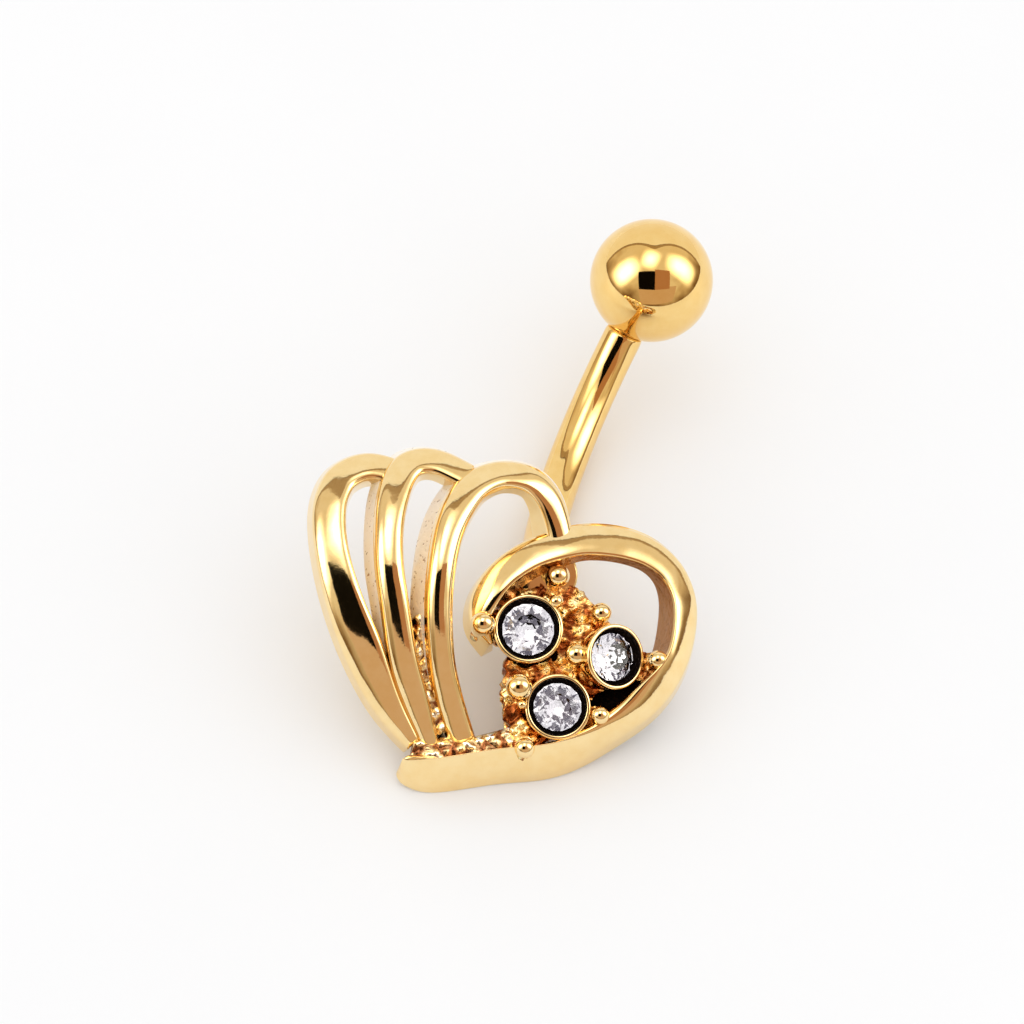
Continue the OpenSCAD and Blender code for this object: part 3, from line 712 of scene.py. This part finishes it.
class RING_OT_heart_strand(bpy.types.Operator):
    """The strand that runs round the right half, and the low ledge and channel at the tip"""
    bl_idname = "ring.heart_strand"
    bl_label = "Heart Strand"

    def execute(self, context):
        s, f = context.scene.ring_sizes, context.scene.ring_finish
        to_row = Layout(s).to_row
        bm = bmesh.new()
        sweep_strand(bm, s, HEART_STRAND, s.heart_t)
        # The inner wall's dark copper is a painted reflection of the cluster
        finish_casting("heart_strand", bm, to_row,
                       [heart_gold(f), satin_gold("inner wall reflection", f.inner_wall_reflection, 1.0, 0.22)],
                       s.detail)
        bm = bmesh.new()
        sweep_strand(bm, s, LEDGE_STRAND, s.heart_t)
        sweep_strand(bm, s, CHANNEL_STRAND, s.fan_t)
        ledge = raw_gold("rough pale gold", f.pale_gold, f.raw, 3.4)
        finish_casting("tip_ledge", bm, to_row, [ledge, ledge], s.detail)
        return {"FINISHED"}


class RING_OT_cluster(bpy.types.Operator):
    """The rough webs between the stones, the three cups and the bead claws"""
    bl_idname = "ring.cluster"
    bl_label = "Stone Cluster"

    def execute(self, context):
        s, f = context.scene.ring_sizes, context.scene.ring_finish
        to_row = Layout(s).to_row
        self.webs(context, s, f, to_row)
        self.pocket(s, f, to_row)
        self.cups(s, f, to_row)
        self.claws(s, f, to_row)
        return {"FINISHED"}

    @staticmethod
    def block(bm, spots, low, high, d):
        """One convex block of metal round the spots, from low to high"""
        made = []
        for spot in spots:
            for z, across in ((low, d * TAPER), (high, d)):
                made += bmesh.ops.create_circle(
                    bm, segments=14, radius=across / 2,
                    matrix=Matrix.Translation((spot.x, spot.y, z)))["verts"]
        hull(bm, made)

    def webs(self, context, s, f, to_row):
        bm = bmesh.new()
        top = WEB_TOP * s.heart_t
        for ends in WEBS:
            self.block(bm, [at(s, *end) for end in ends],
                       top - min(s.cast_depth * WEB_DEEP, top), top, s.strand_w * WEB_WIDE)
        for place, _, d, seat in claw_places(s):
            self.block(bm, [place, at(s, seat.x, seat.y)], top - d / 2, top, d * TAPER)
        rough = finish_casting("cluster_web", bm, to_row,
                               [raw_gold("raw gold", f.raw_gold, f.raw)])
        remesh = rough.modifiers.new("One casting", "REMESH")
        remesh.mode, remesh.voxel_size, remesh.use_smooth_shade = "VOXEL", WEB_VOXEL, True
        skin = rough.modifiers.new("Rough skin", "DISPLACE")
        lumps = bpy.data.textures.new("cast skin", "CLOUDS")
        lumps.noise_scale, lumps.noise_depth = LUMP_SIZE, 2
        skin.texture, skin.texture_coords = lumps, "LOCAL"
        skin.strength, skin.mid_level = LUMP_RELIEF, 0.5
        solid = rough.evaluated_get(context.evaluated_depsgraph_get())
        bm = bmesh.new()
        bm.from_mesh(solid.data)
        rough.modifiers.clear()
        self.clear_cups(bm, s, to_row)
        bm.to_mesh(rough.data)
        bm.free()

    @staticmethod
    def clear_cups(bm, s, to_row):
        """Sinks the rough metal inside each cup to below its stone"""
        for seat in SEATS:
            place = to_row @ seat_place(s, seat)
            back, reach = place.inverted(), cup_d(s, seat) / 2 - s.cup_wall * 0.4
            for v in bm.verts:
                q = back @ v.co
                if math.hypot(q.x, q.y) < reach and q.z > -s.cup_h * 0.9:
                    v.co = place @ Vector((q.x, q.y, -s.cup_h * 0.9))

    def pocket(self, s, f, to_row):
        bm = bmesh.new()
        # A near-black block, painted shade for the dark hollow by the right band
        self.block(bm, [at(s, *end) for end in POCKET], 0, POCKET_TOP * s.heart_t,
                   s.strand_w * WEB_WIDE)
        finish_casting("painted_shade_pocket", bm, to_row, [painted_shade(f)])

    def cups(self, s, f, to_row):
        bm = bmesh.new()
        for seat in SEATS:
            r, bore = cup_d(s, seat) / 2, stone_d(s, seat) / 2 + s.seat_gap
            lip = (r - bore) / 2
            profile = [(0, -s.cup_h), (r * TAPER, -s.cup_h), (r * 0.97, -0.3 * s.cup_h)]
            profile += arc(lip, range(0, 181, 30), (r - lip, -lip))
            deep = s.seat_drop + 0.05 * MM
            profile += [(bore, -0.55 * deep), (bore - 0.02 * MM, -deep)]
            profile += [(bore * share, -deep - drop * MM) for share, drop in BOWL]
            edge = bore + lip * 0.45
            # Faces inside the bore and the bowl take the second material, painted shade round the
            # stone
            spin_profile(bm, profile, seat_place(s, seat),
                         colours=lambda c: 1 if math.hypot(c.x, c.y) < edge
                         and c.z > -deep - MM and c.z > -s.cup_h + 0.01 * MM else 0)
        finish_casting("stone_cups", bm, to_row, [heart_gold(f), painted_shade(f)], 1)

    def claws(self, s, f, to_row):
        bm = bmesh.new()
        for place, middle, d, _ in claw_places(s):
            r, low = d / 2, WEB_TOP * s.heart_t - d / 4
            profile = [(0, low - middle), (r * 0.85, low - middle), (r * 0.72, -r * 0.9)]
            profile += arc(r, range(-45, 90, 15)) + [(0, r)]
            spin_profile(bm, profile, Matrix.Translation(place + Vector((0, 0, middle))), 28)
        finish_casting("bead_claws", bm, to_row, [heart_gold(f)], 1)


class RING_OT_stones(bpy.types.Operator):
    """Three round brilliant-cut stones with mirror foil behind them"""
    bl_idname = "ring.stones"
    bl_label = "Stones"

    def execute(self, context):
        s, f = context.scene.ring_sizes, context.scene.ring_finish
        to_row = Layout(s).to_row
        for seat, node in zip(SEATS, ("stone_large", "stone_right", "stone_lower")):
            bm = bmesh.new()
            self.brilliant(bm, stone_d(s, seat) / 2)
            place = to_row @ seat_place(s, seat) @ Matrix.Translation((0, 0, -s.seat_drop))
            finish_piece(f"{node}_cut", bm, "charm", node,
                         [clear_glass(), mirror_foil(f)], smooth_faces=False, place=place)
        return {"FINISHED"}

    @staticmethod
    def brilliant(bm, r):
        """Hull of a round brilliant: table, star and kite facets, girdle and pavilion"""
        made = []
        for count, radius, z, shift in BRILLIANT:
            turns = [(k + shift) * math.tau / count for k in range(count)]
            made += [bm.verts.new((r * radius * math.cos(a), r * radius * math.sin(a), r * z))
                     for a in turns]
        hull(bm, made)
        bmesh.ops.dissolve_limit(bm, angle_limit=math.radians(1), verts=bm.verts[:],
                                 edges=bm.edges[:])
        for face in bm.faces:
            face.material_index = 1 if face.calc_center_median().z < r * FOIL_LINE else 0


class RING_OT_bar(bpy.types.Operator):
    """The curved bar with its threaded stud, and the short socket on the heart's back"""
    bl_idname = "ring.bar"
    bl_label = "Bar and Socket"

    def execute(self, context):
        s, f = context.scene.ring_sizes, context.scene.ring_finish
        lay = Layout(s)
        place = lay.to_row @ lay.bar_plane
        self.bar(s, f, lay, place)
        self.socket(s, f, lay, place)
        return {"FINISHED"}

    @staticmethod
    def bend(bm, lay, s, radius, start, end):
        """A tube along the bar's curve between two of its angles; returns its two rims"""
        centre = lay.curve + s.bar_radius * Vector((math.sin(start), -math.cos(start), 0))
        verts = bmesh.ops.create_circle(bm, segments=32, radius=radius,
                                        matrix=along_bar(centre, start))["verts"]
        edges = rim_of(verts)
        steps = max(4, round((end - start) / math.radians(2.5)))
        made = bmesh.ops.spin(bm, geom=verts + edges, cent=lay.curve, axis=(0, 0, 1),
                              angle=end - start, steps=steps)
        return edges, edges_of(made["geom_last"])

    def bar(self, s, f, lay, place):
        bm = bmesh.new()
        start = -s.bar_dip - s.socket_depth / s.bar_radius
        for rim in self.bend(bm, lay, s, s.bar_d / 2, start, lay.tip_angle):
            cap = bmesh.ops.edgeloop_fill(bm, edges=rim)["faces"]
            bmesh.ops.inset_region(bm, faces=cap, thickness=2 * CAP_INSET)
        bmesh.ops.transform(bm, matrix=place, verts=bm.verts[:])
        self.stud(bm, s, lay, place)
        gold = polished_gold("deep polished gold", f.deep_gold, f.polish * 0.8, 0.01, 0.0005)
        finish_piece("bar_polished", bm, "charm", "curved_bar", [gold], 1)

    @staticmethod
    def stud(bm, s, lay, place):
        """A stud with a fine thread, which stays inside the ball's bore"""
        crest = s.stud_d / 2
        root, hidden = crest - THREAD_DEPTH, crest - THREAD_DEPTH - 0.04 * MM
        ahead = place @ along_bar(lay.tip, lay.tip_angle)
        profile = [(0, -s.bar_d / 2), (root, -s.bar_d / 2), (root, s.stud_l - 0.12 * MM),
                   (root - 0.1 * MM, s.stud_l), (0, s.stud_l)]
        spin_profile(bm, profile, ahead, 32)
        turns = (s.stud_l - 0.7 * MM) / THREAD_PITCH
        ridge = [(hidden, THREAD_START), (crest, THREAD_START + THREAD_PITCH / 2),
                 (hidden, THREAD_START + THREAD_PITCH)]
        verts = [bm.verts.new((r, 0, z)) for r, z in ridge]
        edges = [bm.edges.new((verts[k], verts[(k + 1) % 3])) for k in range(3)]
        before = set(bm.verts) - set(verts)
        steps = round(turns * THREAD_STEPS)
        last = bmesh.ops.spin(bm, geom=verts + edges, axis=(0, 0, 1), steps=steps,
                              dvec=(0, 0, THREAD_PITCH * turns / steps),
                              angle=math.tau * turns)["geom_last"]
        for rim in (edges, edges_of(last)):
            bmesh.ops.edgeloop_fill(bm, edges=rim)
        bmesh.ops.transform(bm, matrix=ahead, verts=[v for v in bm.verts if v not in before])

    def socket(self, s, f, lay, place):
        bm = bmesh.new()
        hole = s.bar_d / 2 + s.socket_gap
        reach = (WEB_TOP * s.heart_t - lay.mouth.z) / math.sin(s.bar_dip)
        start, end = -s.bar_dip - reach / s.bar_radius, -s.bar_dip
        floor = -s.bar_dip - (s.socket_depth + s.socket_gap) / s.bar_radius
        rims = []
        for radius, first in ((hole + s.socket_wall, start), (hole, floor)):
            back, front = self.bend(bm, lay, s, radius, first, end)
            bmesh.ops.edgeloop_fill(bm, edges=back)
            rims += front
        bmesh.ops.bridge_loops(bm, edges=rims)
        sharp = [e for e in bm.edges if len(e.link_faces) == 2 and e.calc_face_angle() > 1]
        bmesh.ops.bevel(bm, geom=sharp, offset=0.08 * MM, affect="EDGES", segments=3,
                        profile=0.5, material=-1)
        finish_casting("bar_socket", bm, place, [heart_gold(f)])


class RING_OT_ball(bpy.types.Operator):
    """The screw-on ball with its bore"""
    bl_idname = "ring.ball"
    bl_label = "Ball"

    def execute(self, context):
        s, f = context.scene.ring_sizes, context.scene.ring_finish
        lay = Layout(s)
        r = s.ball_d / 2
        mouth, bore = s.bar_d / 2 + s.stud_gap, s.stud_d / 2 + s.stud_gap
        seat = math.sqrt(r * r - (s.bar_d / 2) ** 2)
        rim = math.asin((mouth + 0.04 * MM) / r)
        profile = [(0, s.stud_l + 3 * s.stud_gap - seat), (bore, s.stud_l + 3 * s.stud_gap - seat),
                   (bore, s.stud_gap - seat), (mouth, s.stud_gap - seat),
                   (mouth, -r * math.cos(rim) + 0.04 * MM)]
        steps = 60
        profile += [(r * math.sin(a), -r * math.cos(a))
                    for a in (rim + (math.pi - rim) * k / steps for k in range(steps))]
        profile += [(0, r)]
        bm = bmesh.new()
        ahead = lay.to_row @ lay.bar_plane @ along_bar(lay.ball, lay.tip_angle)
        spin_profile(bm, profile, ahead, 120)
        gold = polished_gold("deep ball gold", f.deep_gold, f.polish * 0.6, 0.006, 0.0003)
        finish_piece("ball_polished", bm, "ball", "top_ball", [gold])
        return {"FINISHED"}


# Table, camera and light
def stage_mesh(name, bm, material, camera=False):
    """A stage surface; only the table shows to the camera, the rest is there for reflections"""
    made = new_object(name, bm, [material])
    if not camera:
        made.visible_camera = made.visible_diffuse = made.visible_shadow = False
    return made


def glow(name, tone, strength, edge=0.0):
    """An even light, or one that fades out over the outer share of its sheet"""
    n = fresh(name)
    light = n.add("ShaderNodeEmission", {"Color": (*tone, 1), "Strength": strength}).outputs[0]
    if edge:
        where = n.add("ShaderNodeSeparateXYZ",
                      {"Vector": n.add("ShaderNodeUVMap", uv_map="sheet").outputs["UV"]})
        fades = []
        for side in "XY":
            far = n.math("ABSOLUTE", n.math("SUBTRACT", where.outputs[side], 0.5))
            fades.append(n.add("ShaderNodeMapRange", {
                "Value": far, "From Min": 0.5 - edge / 2, "From Max": 0.5, "To Min": 1.0,
                "To Max": 0.0}, interpolation_type="SMOOTHSTEP").outputs["Result"])
        clear = n.add("ShaderNodeBsdfTransparent").outputs[0]
        light = n.add("ShaderNodeMixShader", {0: n.math("MULTIPLY", *fades), 1: clear, 2: light}
                      ).outputs[0]
    return n.surface(light)


class RING_OT_stage(bpy.types.Operator):
    """The white table, the camera, and the soft lights and sheets that the gold reflects"""
    bl_idname = "ring.stage"
    bl_label = "Stage"

    def execute(self, context):
        scene, st = context.scene, context.scene.ring_studio
        scene.view_settings.view_transform = "Standard"
        self.table(st)
        view = self.camera(scene, st)
        self.world(scene)
        self.surroundings(st, view)
        return {"FINISHED"}

    @staticmethod
    def table(st):
        n = fresh("white table")
        shade = n.ramp(n.noise(n.millimetres(), 0.05),
                       ((0.3, tinted(st.table, 0.985, 0.985, 0.985)), (0.7, st.table)))
        white = n.principled({"Base Color": shade, "Roughness": 0.6, "Specular IOR Level": 0.1})
        bm = bmesh.new()
        bmesh.ops.create_grid(bm, x_segments=8, y_segments=8, size=TABLE_HALF)
        stage_mesh("table", bm, white, camera=True)

    @staticmethod
    def camera(scene, st):
        a, e = st.azimuth, st.elevation
        to = Vector((math.sin(a) * math.cos(e), -math.cos(a) * math.cos(e), math.sin(e)))
        level = Vector((math.cos(a), math.sin(a), 0))
        right = math.cos(st.roll) * level + math.sin(st.roll) * to.cross(level)
        view = Matrix((right, to.cross(right), to)).transposed().to_4x4()
        view.translation = Vector((st.aim_x, st.aim_y, 0)) + to * st.distance
        data = bpy.data.cameras.new("camera")
        data.lens, data.sensor_width = st.lens, 36
        data.clip_start, data.clip_end = 0.005, 10
        camera = bpy.data.objects.new("camera", data)
        camera.matrix_world = view
        scene.collection.objects.link(camera)
        scene.camera = camera
        return view

    @staticmethod
    def world(scene):
        world = bpy.data.worlds.new("soft white")
        scene.world = world
        n = Nodes(world)
        light = n.add("ShaderNodeBackground", {"Color": (1, 1, 1, 1), "Strength": WORLD_STRENGTH})
        n.surface(light.outputs[0], "ShaderNodeOutputWorld")
        world.cycles_visibility.glossy = False

    @staticmethod
    def sheet(name, centre, normal, width, height, tone, strength, edge=0.0, *, up):
        """A flat sheet that faces along its normal, with its own UV map for the soft edge"""
        bm = bmesh.new()
        bmesh.ops.create_grid(bm, x_segments=1, y_segments=1, size=0.5)
        uv = bm.loops.layers.uv.new("sheet")
        for face in bm.faces:
            for loop in face.loops:
                loop[uv].uv = (loop.vert.co.x + 0.5, loop.vert.co.y + 0.5)
        across = up.cross(normal).normalized()
        turn = Matrix((across, normal.cross(across), normal)).transposed().to_4x4()
        place = Matrix.Translation(centre) @ turn @ Matrix.Diagonal((width, height, 1, 1))
        bmesh.ops.transform(bm, matrix=place, verts=bm.verts[:])
        return stage_mesh(name, bm, glow(name, tone, strength, edge))

    def surroundings(self, st, view):
        """What the gold and the stones reflect; the grey card is for the stones' rays alone"""
        right, up, to = (view.to_3x3().col[k].copy() for k in range(3))
        for card in CARDS:
            middle = view.translation + (right * (card.x0 + card.x1) / 2
                                         + up * (card.y0 + card.y1) / 2 - to * card.back) * MM
            made = self.sheet(card.name, middle, -to, (card.x1 - card.x0) * MM,
                              (card.y1 - card.y0) * MM, card.tone, card.strength, up=up)
            made.visible_transmission, made.visible_glossy = card.for_stones, not card.for_stones
        for box in SOFTBOXES:
            way = Vector(box.way).normalized()
            self.sheet(box.name, way * box.far, -way, box.width, box.height, box.tone,
                       st.softbox * box.share, SOFT_EDGE,
                       up=Vector((0, 1, 0) if way.z > 0.9 else (0, 0, 1)))
        self.room()
        self.back_sweep()

    @staticmethod
    def room():
        """A large dome, light overhead and brown low down, that closes the reflections"""
        n = fresh("warm room")
        where = n.add("ShaderNodeTexCoord").outputs["Object"]
        high = n.add("ShaderNodeSeparateXYZ", {"Vector": where}).outputs["Z"]
        shade = n.ramp(n.math("ADD", n.noise(where, 2.2, 2.0), high), ROOM_TONES)
        warm = n.surface(n.add("ShaderNodeEmission", {"Color": shade, "Strength": 1.0}).outputs[0])
        bm = bmesh.new()
        bmesh.ops.create_icosphere(bm, subdivisions=4, radius=ROOM_RADIUS)
        low = [v for v in bm.verts if v.co.z < ROOM_EDGE]
        bmesh.ops.delete(bm, geom=low, context="VERTS")
        stage_mesh("room", bm, warm).visible_transmission = False

    @staticmethod
    def back_sweep():
        """A white sheet behind the table, highest in its middle, with brown bands over it"""
        for name, low, high, tone in SWEEP_BANDS:
            bm = bmesh.new()
            bmesh.ops.create_grid(bm, x_segments=40, y_segments=4, size=0.5)
            for v in bm.verts:
                share = v.co.x * 2
                around = math.radians((SWEEP_START + SWEEP_END
                                       - share * (SWEEP_END - SWEEP_START)) / 2)
                top = SWEEP_PEAK * max(0.0, 1 - share * share)
                foot = SWEEP_FOOT if low is None else top + low
                height = math.radians(foot + (v.co.y + 0.5) * (top + high - foot))
                v.co = SWEEP_FAR * Vector((math.cos(around) * math.cos(height),
                                           math.sin(around) * math.cos(height),
                                           math.sin(height)))
            stage_mesh(name, bm, glow(name, tone, 1.0))


class RING_PT_panel(bpy.types.Panel):
    """Lists the pieces and the sizes in the 3D view's sidebar"""
    bl_idname = "RING_PT_panel"
    bl_label = "Navel Ring"
    bl_space_type = "VIEW_3D"
    bl_region_type = "UI"
    bl_category = "Navel Ring"

    def draw(self, context):
        column = self.layout.column(align=True)
        for operator in OPERATORS:
            column.operator(operator.bl_idname)
        for group in ("ring_sizes", "ring_finish", "ring_studio"):
            values = getattr(context.scene, group)
            column.separator()
            for name in values.__annotations__:
                column.prop(values, name)


OPERATORS = (RING_OT_fan_strands, RING_OT_heart_strand, RING_OT_cluster, RING_OT_stones,
             RING_OT_bar, RING_OT_ball, RING_OT_stage)
CLASSES = (RingSizes, RingFinish, RingStudio, *OPERATORS, RING_PT_panel)


def register():
    for made in CLASSES:
        bpy.utils.register_class(made)
    bpy.types.Scene.ring_sizes = PointerProperty(type=RingSizes)
    bpy.types.Scene.ring_finish = PointerProperty(type=RingFinish)
    bpy.types.Scene.ring_studio = PointerProperty(type=RingStudio)


def unregister():
    del bpy.types.Scene.ring_studio, bpy.types.Scene.ring_finish, bpy.types.Scene.ring_sizes
    for made in reversed(CLASSES):
        bpy.utils.unregister_class(made)


def main():
    register()
    for operator in OPERATORS:
        group, name = operator.bl_idname.split(".")
        getattr(getattr(bpy.ops, group), name)()


if __name__ == "__main__":
    main()
